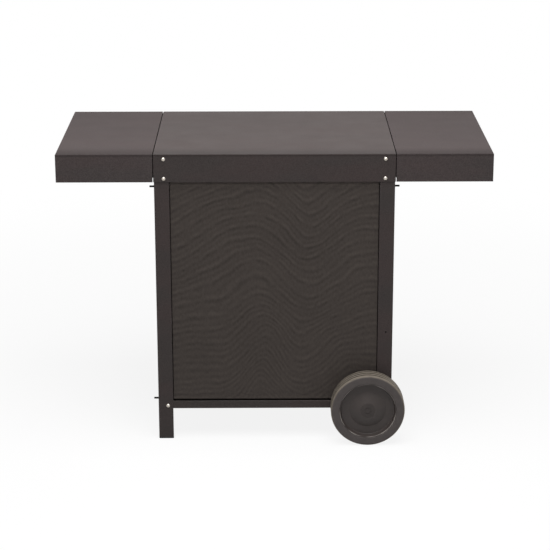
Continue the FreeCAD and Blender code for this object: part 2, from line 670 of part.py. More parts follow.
def make_rim():
    """Return the moulded rim: barrel, dished web with a coned hub, bush sleeve and ribs."""
    barrel = RIM_DIAMETER / 2 - BORE_CLEARANCE
    middle = WHEEL_WIDTH / 2
    half = BEAD_WIDTH / 2 - BORE_CLEARANCE
    lip_w = WHEEL_WIDTH - RIM_LIP_STEP
    floor_w = WHEEL_WIDTH - DISH_DEPTH
    lip = barrel - RIM_LIP
    foot = lip - DISH_DRAFT
    cone = CONE_DIAMETER / 2
    cap = CAP_DIAMETER / 2
    crest = cap + CAP_MARGIN
    crest_w = WHEEL_WIDTH - CONE_STEP
    slope = (crest_w - floor_w) / (cone - crest)
    drop = WEB * math.sqrt(1 + slope * slope)
    pocket = cap - CAP_LEDGE
    cup = pocket + WEB
    sleeve = BUSH_RADIUS + SLEEVE_WALL
    under_w = floor_w - WEB
    cup_w = crest_w - slope * (cup + WEB - crest) - drop
    outline = [
        (barrel, 0), (barrel, middle - half), (barrel + BEAD_HEIGHT, middle - half),
        (barrel + BEAD_HEIGHT, middle + half), (barrel, middle + half), (barrel, lip_w),
        (lip, lip_w), (foot, floor_w), (cone, floor_w), (crest, crest_w),
        (cap + BORE_CLEARANCE, crest_w), (cap + BORE_CLEARANCE, SEAT_W), (pocket, SEAT_W), (pocket, POCKET_W),
        (BUSH_RADIUS + BORE_CLEARANCE, POCKET_W), (BUSH_RADIUS + BORE_CLEARANCE, BUSH_FLANGE),
        (sleeve, BUSH_FLANGE), (sleeve, POCKET_W - WEB), (cup, POCKET_W - WEB), (cup, cup_w),
        (cup + WEB, cup_w), (cone - (drop - WEB) / slope, under_w), (foot - WEB, under_w),
        (barrel - RIM_WALL, 0),
    ]

    def soft(edge):
        if not isinstance(edge.Curve, Part.Circle):
            return False
        w = edge.BoundBox.Center.y
        at_foot = abs(edge.Curve.Radius - foot) < 1e-6 and abs(w - floor_w) < 1e-6
        at_cone = abs(edge.Curve.Radius - cone) < 1e-6 and abs(w - floor_w) < 1e-6
        return at_foot or at_cone

    rim = rounded(turned(outline), RIM_LIP, soft)
    for step in range(RIM_RIBS):
        rib = box(sleeve - SHEET, barrel - RIM_WALL, RIB_SETBACK, under_w + WEB / 2,
                  -RIB_WIDTH / 2, RIB_WIDTH / 2)
        rib.rotate(V(0, 0, 0), V(0, 1, 0), 360.0 * step / RIM_RIBS)
        rim = rim.fuse(rib)
    return rim.removeSplitter()


def make_inner_bush():
    """Return the flanged bush at the wheel's inner face."""
    start = V(0, 0, 0)
    flange = bar(start, V(0, BUSH_FLANGE, 0), BUSH_RADIUS + BUSH_FLANGE_RIM)
    body = bar(start, V(0, POCKET_W / 2, 0), BUSH_RADIUS)
    return flange.fuse(body).cut(bar(start, V(0, WHEEL_WIDTH, 0), BUSH_BORE)).removeSplitter()


def make_outer_bush():
    """Return the flanged bush under the hub cap."""
    start = V(0, POCKET_W / 2 + SEAT_CLEARANCE, 0)
    end = V(0, HUB_W, 0)
    flange = bar(V(0, POCKET_W, 0), end, BUSH_RADIUS + BUSH_FLANGE_RIM)
    body = bar(start, end, BUSH_RADIUS)
    return flange.fuse(body).cut(bar(start, V(0, WHEEL_WIDTH, 0), BUSH_BORE)).removeSplitter()


def make_hub_cap():
    """Return the domed cap that closes the hub, hollow over the end of the axle."""
    radius = CAP_DIAMETER / 2
    crest_w = WHEEL_WIDTH - CONE_STEP
    hollow = radius - CAP_LEDGE
    ball = (radius * radius + CAP_DOME * CAP_DOME) / (2 * CAP_DOME)
    dome = Part.makeSphere(ball, V(0, crest_w + CAP_DOME - ball, 0))
    cap = dome.common(bar(V(0, SEAT_W, 0), V(0, WHEEL_WIDTH, 0), radius))
    skin_w = crest_w - CAP_DOME / 2
    cap = cap.cut(bar(V(0, 0, 0), V(0, skin_w, 0), hollow))
    groove = tube(V(0, crest_w, 0), V(0, WHEEL_WIDTH, 0), radius * 0.42, radius * 0.36)
    return cap.cut(groove)


os.makedirs("parts", exist_ok=True)
pieces = {}


def add(name, shapes):
    """Keep one node, made of one solid or of a group of solids."""
    pieces[name] = shapes if isinstance(shapes, list) else [shapes]


left_leg = make_post(GLIDE_THICKNESS, True)
right_post = flipped_x(make_post(TRAY_BOTTOM, True)).cut(hook_hole())
add("main_top", make_top())
add("front_left_leg", left_leg)
add("rear_left_leg", flipped_y(make_post(GLIDE_THICKNESS, False)))
add("front_right_post", right_post)
add("rear_right_post", flipped_y(flipped_x(make_post(TRAY_BOTTOM, False))))
add("front_left_glide", make_glide())
add("rear_left_glide", flipped_y(make_glide()))
add("bottom_tray", make_bottom_tray())
add("rear_tray_rail", make_tray_rail())
add("front_tray_rail", flipped_y(make_tray_rail()))
add("left_side_panel", make_side_panel())
add("right_side_panel", flipped_x(make_side_panel()))
add("side_panel_rivets", [place.rivet() for place in PANEL_PLACES])

add("front_screen", make_screen())
add("upper_screen_rod", make_rod(UPPER_ROD_Z))
add("lower_screen_rod", make_rod(LOWER_ROD_Z))
add("screen_rod_clips", make_clips())

add("front_top_bolts", [place.bolt() for place in FRONT_TOP])
add("rear_top_bolts", [place.bolt() for place in REAR_TOP])
add("side_top_bolts", [place.bolt() for place in SIDE_TOP])
add("top_nuts", [place.nut() for place in TOP_PLACES])
add("tray_bolts", [place.bolt() for place in TRAY_PLACES])
add("tray_nuts", [place.nut() for place in TRAY_PLACES])

add("right_hanger_rail", make_hanger_rail())
add("left_hanger_rail", flipped_x(make_hanger_rail()))
add("hanger_rail_rivets", [place.rivet() for place in RAIL_PLACES])
add("right_shelf", make_shelf())
add("right_hook_rail", make_hook_rail())
add("right_hook_rivets", [place.rivet() for place in HOOK_PLACES])
add("right_shelf_pads", make_shelf_pads())
add("left_shelf", flipped_x(make_shelf()))
add("left_hook_rail", flipped_x(make_hook_rail()))
add("left_hook_rivets", [flipped_x(place.rivet()) for place in HOOK_PLACES])
add("left_shelf_pads", [flipped_x(pad) for pad in make_shelf_pads()])

add("axle", make_axle())
add("rear_axle_plate", make_axle_plate())
add("front_axle_plate", flipped_y(make_axle_plate()))
add("axle_plate_rivets", [place.rivet() for place in AXLE_PLACES])
add("axle_spacers", [make_spacer(), flipped_y(make_spacer())])
add("axle_washers", [make_washer(), flipped_y(make_washer())])
add("axle_retainers", [make_retainer(), flipped_y(make_retainer())])

for end, side in (("rear", at_rear_wheel), ("front", lambda shape: flipped_y(at_rear_wheel(shape)))):
    add(end + "_tyre", side(make_tyre()))
    add(end + "_rim", side(make_rim()))
    add(end + "_inner_bush", side(make_inner_bush()))
    add(end + "_outer_bush", side(make_outer_bush()))
    add(end + "_hub_cap", side(make_hub_cap()))

for name, solids in pieces.items():
    whole = solids[0] if len(solids) == 1 else Part.makeCompound(solids)
    whole.exportStep("parts/" + name + ".step")
    print(name, len(whole.Solids), whole.isValid(), round(whole.Volume, 1))
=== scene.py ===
"""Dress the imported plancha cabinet: finishes for steel, plastic and rubber, and a sewn cloth front screen."""

import logging
import math
from collections.abc import Callable, Iterable, Mapping
from dataclasses import dataclass, field
from enum import Enum
from typing import Any

import bpy
from mathutils import Matrix, Vector


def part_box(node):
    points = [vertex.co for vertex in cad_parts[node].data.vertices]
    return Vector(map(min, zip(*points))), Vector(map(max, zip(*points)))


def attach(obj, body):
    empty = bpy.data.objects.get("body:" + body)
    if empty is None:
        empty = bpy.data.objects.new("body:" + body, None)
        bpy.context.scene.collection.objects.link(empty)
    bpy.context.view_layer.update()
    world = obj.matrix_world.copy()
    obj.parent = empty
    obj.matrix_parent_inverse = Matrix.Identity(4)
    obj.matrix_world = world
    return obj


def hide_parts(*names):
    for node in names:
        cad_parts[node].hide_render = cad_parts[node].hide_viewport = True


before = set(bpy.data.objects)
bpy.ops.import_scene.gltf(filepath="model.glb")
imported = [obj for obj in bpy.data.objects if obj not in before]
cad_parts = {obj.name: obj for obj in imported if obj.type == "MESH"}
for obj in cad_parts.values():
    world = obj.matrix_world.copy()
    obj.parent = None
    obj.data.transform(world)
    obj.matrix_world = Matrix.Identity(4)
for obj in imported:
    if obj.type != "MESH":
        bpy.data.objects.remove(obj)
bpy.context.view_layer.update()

logging.basicConfig(level=logging.INFO, format="%(name)s: %(message)s")
LOG = logging.getLogger("cabinet")

Colour = tuple[float, float, float]
Place = tuple[float, float, float]
Pair = tuple[float, float]
Names = tuple[str, ...]

WHITE = (1.0, 1.0, 1.0)
FULL_TURN = 2 * math.pi
SCREEN_WIDTH = 0.5510
WHEEL_AXLE = (0.251, 0.100)


class Value:
    """One output of a node, on which Python's arithmetic adds Math nodes."""

    def __init__(self, nodes: "Nodes", socket: bpy.types.NodeSocket) -> None:
        """Keep the tree that the socket belongs to."""
        self.nodes = nodes
        self.socket = socket

    def other(self, output: str) -> "Value":
        """Return another output of the same node."""
        return Value(self.nodes, self.socket.node.outputs[output])

    def about(self, middle: float, spread: float) -> "Value":
        """Return this value, from 0 to 1, as a number that strays from a middle by half a spread each way."""
        return middle - spread / 2 + spread * self

    def __add__(self, other: "Value | float") -> "Value":
        """Return the sum."""
        return self.nodes.math("ADD", self, other)

    def __radd__(self, other: float) -> "Value":
        """Return the sum, with the number first."""
        return self.nodes.math("ADD", other, self)

    def __sub__(self, other: "Value | float") -> "Value":
        """Return the difference."""
        return self.nodes.math("SUBTRACT", self, other)

    def __rsub__(self, other: float) -> "Value":
        """Return the difference, with the number first."""
        return self.nodes.math("SUBTRACT", other, self)

    def __mul__(self, other: "Value | float") -> "Value":
        """Return the product."""
        return self.nodes.math("MULTIPLY", self, other)

    def __rmul__(self, other: float) -> "Value":
        """Return the product, with the number first."""
        return self.nodes.math("MULTIPLY", other, self)

    def __truediv__(self, other: "Value | float") -> "Value":
        """Return the quotient."""
        return self.nodes.math("DIVIDE", self, other)

    def __rtruediv__(self, other: float) -> "Value":
        """Return the quotient, with the number first."""
        return self.nodes.math("DIVIDE", other, self)


class Nodes:
    """A node tree that starts empty and grows one node at a time."""

    def __init__(self, tree: bpy.types.NodeTree) -> None:
        """Empty the tree."""
        self.tree = tree
        tree.nodes.clear()

    def node(self, kind: str, settings: Mapping[str, Any] | None = None,
             inputs: Mapping[str | int, Any] | None = None, output: str | int = 0) -> Value | None:
        """Add one node.

        Args:
            kind: The node's type.
            settings: Its properties, set first.
            inputs: Values or links, by the input's name or number.
            output: The output to hand back.

        Returns:
            That output, or None for a node that has no outputs.
        """
        made = self.tree.nodes.new(kind)
        for name, setting in (settings or {}).items():
            setattr(made, name, setting)
        for name, value in (inputs or {}).items():
            self.feed(made.inputs[name], value)
        return Value(self, made.outputs[output]) if len(made.outputs) else None

    def feed(self, socket: bpy.types.NodeSocket, value: Any) -> None:
        """Link a value to a socket, or set a number, colour or vector on it.

        Args:
            socket: The input to feed.
            value: A Value, a number, or a tuple of three numbers.
        """
        if isinstance(value, Value):
            self.tree.links.new(value.socket, socket)
        elif socket.type == "RGBA":
            socket.default_value = (*value, 1.0)
        else:
            socket.default_value = value

    def math(self, operation: str, *terms: "Value | float") -> Value:
        """Add a Math node and return its result."""
        return self.node("ShaderNodeMath", {"operation": operation}, dict(enumerate(terms)))


@dataclass(frozen=True)
class Grain:
    """A noise: how often it changes in a metre, its finer detail, and a factor for each axis."""

    scale: float
    detail: float = 2.0
    stretch: Place | None = None


class Surface(Nodes):
    """A material on Object coordinates, ended by one Principled shader."""

    def __init__(self, name: str) -> None:
        """Make an empty material.

        Args:
            name: The material's name.
        """
        self.material = bpy.data.materials.new(name)
        self.material.use_nodes = True
        super().__init__(self.material.node_tree)
        self.place = self.node("ShaderNodeTexCoord", output="Object")

    def axes(self) -> tuple[Value, Value, Value]:
        """Return the place's x, y and z in metres."""
        first = self.node("ShaderNodeSeparateXYZ", inputs={"Vector": self.place})
        return first, first.other("Y"), first.other("Z")

    def away(self, axle: Pair) -> Value:
        """Return how far a point is from a wheel's axle, which runs along Y.

        Args:
            axle: The axle's x and z.

        Returns:
            The distance in metres.
        """
        x, _, z = self.axes()
        across, up = x - axle[0], z - axle[1]
        return self.math("SQRT", across * across + up * up)

    def noise(self, grain: Grain) -> Value:
        """Return a soft noise from 0 to 1.

        Args:
            grain: How fine the noise is.

        Returns:
            The noise.
        """
        place = self.place
        if grain.stretch:
            place = self.node("ShaderNodeVectorMath", {"operation": "MULTIPLY"},
                              {0: self.place, 1: grain.stretch})
        return self.node("ShaderNodeTexNoise", {"normalize": True},
                         {"Vector": place, "Scale": grain.scale, "Detail": grain.detail}, "Fac")

    def ramp(self, value: Value, span: Pair, ends: Pair = (0.0, 1.0)) -> Value:
        """Return a number that changes smoothly while a value crosses a span.

        Args:
            value: What the number follows.
            span: Where the change starts and where it ends.
            ends: The number before the span and the number after it.

        Returns:
            The number.
        """
        return self.node("ShaderNodeMapRange", {"interpolation_type": "SMOOTHSTEP"},
                         {"Value": value, "From Min": span[0], "From Max": span[1],
                          "To Min": ends[0], "To Max": ends[1]})

    def blend(self, factor: Value | float, first: Value | Colour, second: Value | Colour) -> Value:
        """Return a colour between two.

        Args:
            factor: 0 for the first colour, 1 for the second.
            first: A colour.
            second: A colour.

        Returns:
            The mixed colour.
        """
        return self.node("ShaderNodeMix", {"data_type": "RGBA", "clamp_factor": True},
                         {0: factor, 6: first, 7: second}, 2)

    def shaded(self, colour: Value | Colour, tone: Value) -> Value:
        """Return a colour made lighter or darker by a grey tone, where 1 leaves it as it is."""
        return self.node("ShaderNodeVectorMath", {"operation": "SCALE"}, {0: colour, "Scale": tone})

    def bump(self, height: Value, distance: float) -> Value:
        """Return a normal that follows a height given from 0 to 1, over a distance in metres."""
        return self.node("ShaderNodeBump", inputs={"Height": height, "Distance": distance, "Strength": 1.0})

    def end(self, **inputs: Any) -> bpy.types.Material:
        """Close the material with a Principled shader.

        Args:
            inputs: The shader's inputs, with _ for each space in a name.

        Returns:
            The finished material.
        """
        named = {name.replace("_", " "): value for name, value in inputs.items()}
        shader = self.node("ShaderNodeBsdfPrincipled", inputs=named)
        self.node("ShaderNodeOutputMaterial", inputs={"Surface": shader})
        return self.material


@dataclass(frozen=True)
class PowderCoat:
    """Satin powder coat on folded sheet steel, with a fine grain, a warmer tint on the flat of a top, and
    painted shade that darkens the tops towards their front edge.
    """

    name: str = "powder_coat"
    colour: Colour = (0.0595, 0.0508, 0.0490)
    warm: Colour = (0.0640, 0.0505, 0.0488)
    top_tint: Colour = (0.0620, 0.0482, 0.0462)
    roughness: float = 0.52
    specular: float = 0.10
    cloud: Grain = Grain(7.0, 3.0, (0.4, 1.6, 1.6))
    cloud_span: Pair = (0.38, 0.62)
    clouding: float = 0.16
    speckle: Grain = Grain(380.0)
    speckling: float = 0.95
    sheen: Grain = Grain(14.0, 3.0)
    sheen_spread: float = 0.12
    peel: Grain = Grain(650.0)
    peel_height: float = 0.00004
    top: float = 0.7950
    fold: float = 0.004
    top_tinting: float = 0.8
    front: float = -0.2650
    front_shade_reach: float = 0.085
    front_shade_depth: float = 0.38

    def lid(self, coat: Surface) -> Value:
        """Return 1 on the flat of a top, and 0 below it."""
        _, _, z = coat.axes()
        return coat.ramp(z, (self.top - self.fold, self.top + self.fold))

    def edge(self, coat: Surface) -> Value:
        """Return how much darker a top is painted towards its front edge: painted shade that stands in for the
        reflection falling off there.

        Args:
            coat: The material that it goes into.

        Returns:
            A tone, 1 where nothing changes.
        """
        _, y, _ = coat.axes()
        # Painted shade: the flat of a top is painted up to 38 per cent darker over the last 85 mm before its
        # front edge.
        near = coat.ramp(y, (self.front, self.front + self.front_shade_reach), (self.front_shade_depth, 0.0))
        return 1.0 - self.lid(coat) * near

    def material(self) -> bpy.types.Material:
        """Make the coat's material.

        Returns:
            The material.
        """
        coat = Surface(self.name)
        cloud = coat.noise(self.cloud)
        colour = coat.blend(coat.ramp(cloud, self.cloud_span), self.colour, self.warm)
        # The flat of a top is given a warmer tint.
        colour = coat.blend(self.top_tinting * self.lid(coat), colour, self.top_tint)
        tone = cloud.about(1.0, self.clouding) + coat.noise(self.speckle).about(0.0, self.speckling)
        return coat.end(Base_Color=coat.shaded(colour, tone * self.edge(coat)),
                        Roughness=coat.noise(self.sheen).about(self.roughness, self.sheen_spread),
                        Normal=coat.bump(coat.noise(self.peel), self.peel_height),
                        Specular_IOR_Level=self.specular)


@dataclass(frozen=True)
class BlackPaint:
    """Plain matt paint on bar steel, worn a little lighter in patches."""

    name: str
    colour: Colour
    rub_and_highlight: Colour
    roughness: float = 0.5
    specular: float = 0.3
    mottle: Grain = Grain(180.0, 4.0)
    mottle_span: Pair = (0.6, 0.8)
    polish: float = 0.1
    grain: Grain = Grain(1400.0)
    grain_height: float = 0.00002

    def material(self) -> bpy.types.Material:
        """Make the paint's material.

        Returns:
            The material.
        """
        paint = Surface(self.name)
        mark = paint.ramp(paint.noise(self.mottle), self.mottle_span)
        return paint.end(Base_Color=paint.blend(mark, self.colour, self.rub_and_highlight),
                         Roughness=self.roughness - self.polish * mark,
                         Normal=paint.bump(paint.noise(self.grain), self.grain_height),
                         Specular_IOR_Level=self.specular)


@dataclass(frozen=True)
class BareSteel:
    """Bright or plated steel with fine turning marks."""

    name: str
    colour: Colour
    dull: Colour
    roughness: float = 0.25
    cloud: Grain = Grain(260.0, 3.0)
    line: Grain = Grain(900.0, 2.0, (1.0, 1.0, 4.0))
    line_spread: float = 0.1
    line_height: float = 0.00001

    def material(self) -> bpy.types.Material:
        """Make the steel's material.

        Returns:
            The material.
        """
        steel = Surface(self.name)
        line = steel.noise(self.line)
        return steel.end(Base_Color=steel.blend(steel.noise(self.cloud), self.dull, self.colour),
                         Roughness=line.about(self.roughness, self.line_spread),
                         Normal=steel.bump(line, self.line_height), Metallic=1.0)


@dataclass(frozen=True)
class Moulding:
    """Moulded plastic with a fine spark-eroded grain."""

    name: str
    colour: Colour
    roughness: float = 0.45
    specular: float = 0.35
    cloud: Grain = Grain(30.0, 3.0)
    clouding: float = 0.24
    grain: Grain = Grain(1500.0)
    grain_spread: float = 0.1
    grain_height: float = 0.00003

    def material(self) -> bpy.types.Material:
        """Make the plastic's material.

        Returns:
            The material.
        """
        plastic = Surface(self.name)
        tone = plastic.noise(self.cloud).about(1.0, self.clouding)
        grain = plastic.noise(self.grain)
        return plastic.end(Base_Color=plastic.shaded(self.colour, tone),
                           Roughness=grain.about(self.roughness, self.grain_spread),
                           Normal=plastic.bump(grain, self.grain_height),
                           Specular_IOR_Level=self.specular)


@dataclass(frozen=True)
class Rubber:
    """Solid rubber or thread that has picked up a little dust."""

    name: str
    colour: Colour
    dust: Colour
    dusty: float = 0.4
    roughness: float = 0.775
    specular: float = 0.25
    patch: Grain = Grain(60.0, 4.0)
    patch_span: Pair = (0.3, 0.8)
    patch_spread: float = 0.15
    grain: Grain = Grain(1100.0, 3.0)
    grain_height: float = 0.00006

    def material(self) -> bpy.types.Material:
        """Make the rubber's material.

        Returns:
            The material.
        """
        rubber = Surface(self.name)
        patch = rubber.noise(self.patch)
        dusted = rubber.ramp(patch, self.patch_span, (0.0, self.dusty))
        return rubber.end(Base_Color=rubber.blend(dusted, self.colour, self.dust),
                          Roughness=patch.about(self.roughness, self.patch_spread),
                          Normal=rubber.bump(rubber.noise(self.grain), self.grain_height),
                          Specular_IOR_Level=self.specular)


@dataclass(frozen=True)
class WovenCloth:
    """Coated mesh cloth: a plain weave with a watered tone that runs in waves across it."""

    name: str = "screen_cloth"
    colour: Colour = (0.0618, 0.0509, 0.0449)
    roughness: float = 0.72
    specular: float = 0.2
    width: float = SCREEN_WIDTH
    # Where, and how strongly, the cloth under the skirt is painted paler as a painted highlight.
    shadow_lift_span: Pair = (0.7090, 0.7230)
    shadow_lift_gain: float = 1.6
    turnover: Pair = (0.2130, 0.6130)
    drift: Grain = Grain(4.0, 1.0)
    drifting: float = 0.22
    early: Pair = (-0.06, 0.44)
    late: Pair = (0.22, 0.44)
    fall: Pair = (0.43, 0.65)
    again: Pair = (0.65, 0.93)
    again_share: float = 0.85
    swing: float = 0.0950
    wander: Grain = Grain(5.0, 1.0)
    wandering: float = 0.055
    shiver: Grain = Grain(15.0)
    shivering: float = 0.024
    pitch: float = 0.0170
    fine_share: float = 0.85
    broad_pitch: float = 0.0340
    broad_share: Pair = (0.25, 0.6)
    breaks: Grain = Grain(34.0, 3.0)
    break_span: Pair = (0.30, 0.66)
    break_share: Pair = (0.15, 1.5)
    depth: float = 0.13
    patch: Grain = Grain(9.0)
    patching: float = 0.24
    slub: Grain = Grain(170.0, 3.0, (1.0, 1.0, 0.6))
    slubbing: float = 0.60
    fibre: Grain = Grain(520.0, 2.0, (1.0, 1.0, 0.25))
    fraying: float = 0.45
    thread: float = 0.0011
    thread_height: float = 0.00012
    thread_tone: float = 0.28
    thread_polish: float = 0.12
    crossing: float = 0.25
    rib: float = 0.2

    def rise(self, cloth: Surface) -> Value:
        """Return how far the lines of the watered tone climb and fall across the cloth.

        Args:
            cloth: The material that it goes into.

        Returns:
            The height above the line's left end, in metres.
        """
        x, _, z = cloth.axes()
        across = x / self.width + cloth.noise(self.drift).about(0.5, self.drifting)
        low = cloth.ramp(z, self.turnover, (1.0, 0.0))
        early, late = cloth.ramp(across, self.early), cloth.ramp(across, self.late)
        fall, again = cloth.ramp(across, self.fall), cloth.ramp(across, self.again, (0.0, self.again_share))
        return self.swing * (early + low * (late - early) - fall + again)

    def wave(self, cloth: Surface) -> Value:
        """Return the watered tone: fine lines, of which every second one is stronger, most so at the top.

        Args:
            cloth: The material that it goes into.

        Returns:
            The tone, 0 on average.
        """
        _, _, z = cloth.axes()
        stray = cloth.noise(self.wander).about(0.0, self.wandering)
        stray = stray + cloth.noise(self.shiver).about(0.0, self.shivering)
        level = z - self.rise(cloth) + stray
        fine = cloth.math("SINE", level * (FULL_TURN / self.pitch))
        broad = cloth.math("SINE", level * (FULL_TURN / self.broad_pitch))
        share = cloth.ramp(z, self.turnover, self.broad_share)
        broken = cloth.ramp(cloth.noise(self.breaks), self.break_span, self.break_share)
        return (self.fine_share * fine + share * broad) * broken

    def weave(self, cloth: Surface) -> Value:
        """Return the height of the weave, from 0 to 1.

        Args:
            cloth: The material that it goes into.

        Returns:
            The height.
        """
        x, _, z = cloth.axes()
        across = cloth.math("SINE", x * (FULL_TURN / self.thread))
        along = cloth.math("SINE", z * (FULL_TURN / self.thread))
        return 0.5 + self.crossing * across * along + self.rib * across

    def material(self) -> bpy.types.Material:
        """Make the cloth's material.

        Returns:
            The material.
        """
        cloth = Surface(self.name)
        _, _, z = cloth.axes()
        weave = self.weave(cloth)
        tone = 1.0 + self.depth * self.wave(cloth) + cloth.noise(self.patch).about(0.0, self.patching)
        tone = tone + cloth.noise(self.slub).about(0.0, self.slubbing)
        tone = tone + cloth.noise(self.fibre).about(0.0, self.fraying)
        tone = tone * weave.about(1.0, self.thread_tone)
        # Painted highlight: the strip of cloth just under the skirt is painted up to 1.6 times paler, to cancel
        # the skirt's shadow on it.
        shadow_lift = cloth.ramp(z, self.shadow_lift_span, (1.0, self.shadow_lift_gain))
        return cloth.end(Base_Color=cloth.shaded(self.colour, tone * shadow_lift),
                         Roughness=weave.about(self.roughness, -self.thread_polish),
                         Normal=cloth.bump(weave, self.thread_height), Specular_IOR_Level=self.specular)


@dataclass(frozen=True)
class TyreRubber:
    """Solid tyre rubber: a clean grey wall, and a tread that is pale with dust, with painted shade in and
    beside its grooves.
    """

    name: str = "tyre_rubber"
    wall: Colour = (0.097, 0.0845, 0.0815)
    tread: Colour = (0.186, 0.159, 0.128)
    roughness: float = 0.72
    specular: float = 0.25
    axle: Pair = WHEEL_AXLE
    shoulder: Pair = (0.0955, 0.0990)
    middle: float = 0.2955
    grooved: Pair = (0.0155, 0.0175)
    groove_foot: Pair = (0.0950, 0.0960)
    groove_pitch: float = 0.0125
    groove_span: Pair = (-0.1, 0.75)
    # The darkest painted shade in the grooves, as a share taken off the tone.
    groove_shading: float = 0.85
    patch: Grain = Grain(60.0, 4.0)
    patching: float = 0.3
    patch_spread: float = 0.2
    dusting: float = 0.6
    grain: Grain = Grain(1100.0, 3.0)
    grain_height: float = 0.00006

    def groove(self, rubber: Surface, away: Value) -> Value:
        """Return the tone of the tread, with painted shade in and along its grooves.

        Args:
            rubber: The material that it goes into.
            away: How far a point is from the axle.

        Returns:
            The tone, 1 between the grooves.
        """
        _, y, _ = rubber.axes()
        aside = rubber.math("ABSOLUTE", y) - self.middle
        inside = rubber.ramp(rubber.math("ABSOLUTE", aside), self.grooved, (1.0, 0.0))
        outside = rubber.ramp(away, self.groove_foot)
        line = rubber.math("COSINE", aside * (FULL_TURN / self.groove_pitch))
        # Painted shade: stripes in and beside the tread's grooves are painted up to 85 per cent darker.
        return 1.0 - inside * outside * rubber.ramp(line, self.groove_span, (0.0, self.groove_shading))

    def material(self) -> bpy.types.Material:
        """Make the tyre's material.

        Returns:
            The material.
        """
        rubber = Surface(self.name)
        away, patch = rubber.away(self.axle), rubber.noise(self.patch)
        dusty = rubber.ramp(away, self.shoulder) * patch.about(1.0, self.dusting)
        tone = patch.about(1.0, self.patching) * self.groove(rubber, away)
        return rubber.end(Base_Color=rubber.shaded(rubber.blend(dusty, self.wall, self.tread), tone),
                          Roughness=patch.about(self.roughness, self.patch_spread),
                          Normal=rubber.bump(rubber.noise(self.grain), self.grain_height),
                          Specular_IOR_Level=self.specular)


@dataclass(frozen=True)
class RimPlastic:
    """Moulded wheel plastic, with a painted highlight in patches along the lip of its dish."""

    name: str = "rim_plastic"
    colour: Colour = (0.0572, 0.0467, 0.0432)
    # The colour of the painted highlight on the lip, about six times lighter than the plastic.
    rub_and_highlight: Colour = (0.360, 0.328, 0.302)
    roughness: float = 0.41
    specular: float = 0.3
    axle: Pair = WHEEL_AXLE
    lip_start: Pair = (0.0748, 0.0752)
    lip_end: Pair = (0.0762, 0.0766)
    mottle: Grain = Grain(22.0, 1.0)
    mottle_span: Pair = (0.36, 0.58)
    cloud: Grain = Grain(30.0, 3.0)
    clouding: float = 0.2
    grain: Grain = Grain(1500.0)
    grain_spread: float = 0.1
    grain_height: float = 0.00003

    def material(self) -> bpy.types.Material:
        """Make the wheel plastic's material.

        Returns:
            The material.
        """
        plastic = Surface(self.name)
        away, grain = plastic.away(self.axle), plastic.noise(self.grain)
        # Painted highlight: a thin ring along the lip of the dish is painted about six times lighter, broken
        # into patches.
        lip = plastic.ramp(away, self.lip_start) - plastic.ramp(away, self.lip_end)
        lip = lip * plastic.ramp(plastic.noise(self.mottle), self.mottle_span)
        colour = plastic.blend(lip, self.colour, self.rub_and_highlight)
        tone = plastic.noise(self.cloud).about(1.0, self.clouding)
        return plastic.end(Base_Color=plastic.shaded(colour, tone),
                           Roughness=grain.about(self.roughness, self.grain_spread),
                           Normal=plastic.bump(grain, self.grain_height),
                           Specular_IOR_Level=self.specular)


def dress(names: Iterable[str], material: bpy.types.Material) -> None:
    """Give CAD nodes a material, and report each.

    Args:
        names: The nodes' names.
        material: Their finish.
    """
    for name in names:
        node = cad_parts[name]
        for place in node.material_slots:
            place.material = material
        LOG.info("%s finished in %s", name, material.name)


class Bench:
    """Blender's own tools at work on the one mesh that is being made."""

    def __init__(self, name: str) -> None:
        """Clear the selection for a new piece.

        Args:
            name: The piece's name.
        """
        self.name = name
        self.piece: bpy.types.Object | None = None
        bpy.ops.object.select_all(action="DESELECT")

    def take(self) -> bpy.types.Object:
        """Name the primitive that was just added, and apply its place.

        Returns:
            The piece, ready to be shaped.
        """
        self.piece = bpy.context.object
        self.piece.name = self.piece.data.name = self.name
        bpy.ops.object.transform_apply(location=True, rotation=True, scale=True)
        return self.piece

    def select(self, test: Callable[[Vector], bool]) -> None:
        """Go into edit mode with only some vertices selected.

        Args:
            test: Says for a vertex's place whether it is selected.
        """
        bpy.ops.object.mode_set(mode="EDIT")
        bpy.ops.mesh.select_mode(type="VERT")
        bpy.ops.mesh.select_all(action="DESELECT")
        bpy.ops.object.mode_set(mode="OBJECT")
        for vertex in self.piece.data.vertices:
            vertex.select = test(vertex.co)
        bpy.ops.object.mode_set(mode="EDIT")

    def pull(self, step: Vector) -> None:
        """Extrude what is selected along a step."""
        bpy.ops.mesh.extrude_region_move(TRANSFORM_OT_translate={"value": step})

    def move(self, step: Vector) -> None:
        """Move what is selected along a step."""
        bpy.ops.transform.translate(value=step)

    def turn(self, centre: Vector, angle: float, steps: int) -> None:
        """Spin the selected edges about an axis along X.

        Args:
            centre: A point on the axis.
            angle: How far, in radians, from -Y towards -Z.
            steps: How many faces the bend has.
        """
        bpy.ops.mesh.spin(steps=steps, angle=angle, center=centre, axis=(-1.0, 0.0, 0.0))

    def modify(self, kind: str, **settings: Any) -> None:
        """Add a modifier, set it and apply it.

        Args:
            kind: The modifier's type.
            settings: Its properties.
        """
        bpy.ops.object.mode_set(mode="OBJECT")
        made = self.piece.modifiers.new(kind.lower(), kind)
        for name, setting in settings.items():
            setattr(made, name, setting)
        bpy.ops.object.modifier_apply(modifier=made.name)

    def close(self, smooth_to: float = 40.0) -> bpy.types.Object:
        """Leave edit mode and smooth the shading.

        Args:
            smooth_to: The widest angle that is smoothed, in degrees.

        Returns:
            The finished piece.
        """
        if bpy.context.mode != "OBJECT":
            bpy.ops.object.mode_set(mode="OBJECT")
        bpy.ops.object.shade_smooth_by_angle(angle=math.radians(smooth_to))
        bpy.ops.object.select_all(action="DESELECT")
        return self.piece


class Face(Enum):
    """The side of the cloth that a row of stitches lies on."""

    FRONT = -1.0
    BACK = 1.0


